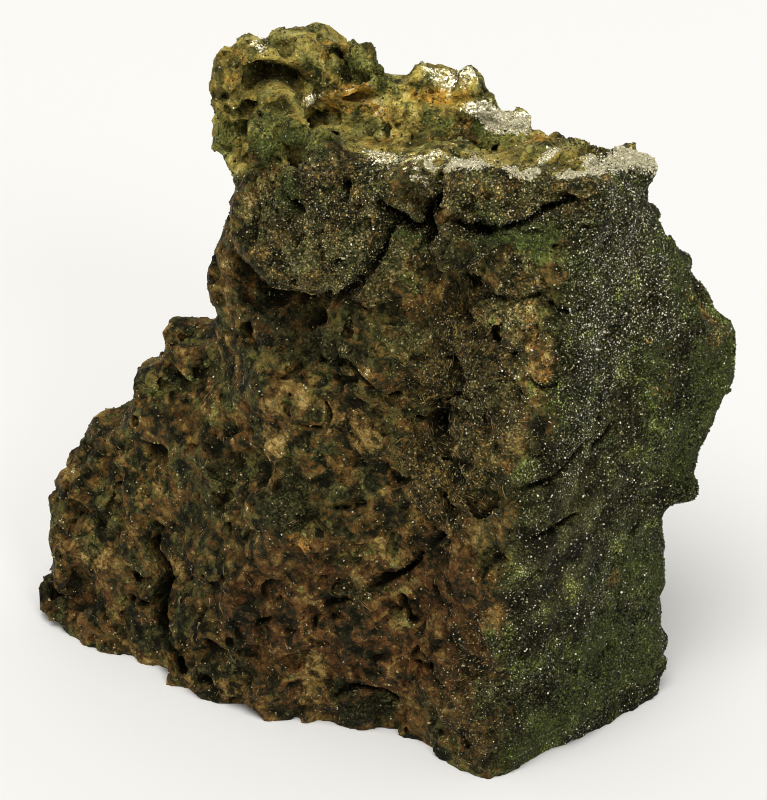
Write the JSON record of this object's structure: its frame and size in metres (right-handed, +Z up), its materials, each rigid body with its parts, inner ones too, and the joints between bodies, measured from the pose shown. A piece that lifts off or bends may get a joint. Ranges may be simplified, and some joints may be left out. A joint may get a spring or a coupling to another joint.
{
  "type": "chromite ore specimen",
  "caption": "Broken fist-sized lump of massive chromite ore with a sharp front edge, a low side shoulder and a dished, crusted top, standing on its flattest side.",
  "frame": {"origin": "middle of the bounding box, at the level of the flat underside", "axes": "+Z up from the resting face, -Y towards the sharp front edge, -X towards the low shoulder"},
  "size_m": [0.1002, 0.0638, 0.0942],
  "materials": {
    "chromite_ore": "rough, weathered, with fine glinting grains"
  },
  "bodies": {
    "root": {"chromite_rock": "chromite_ore"}
  },
  "joints": []
}
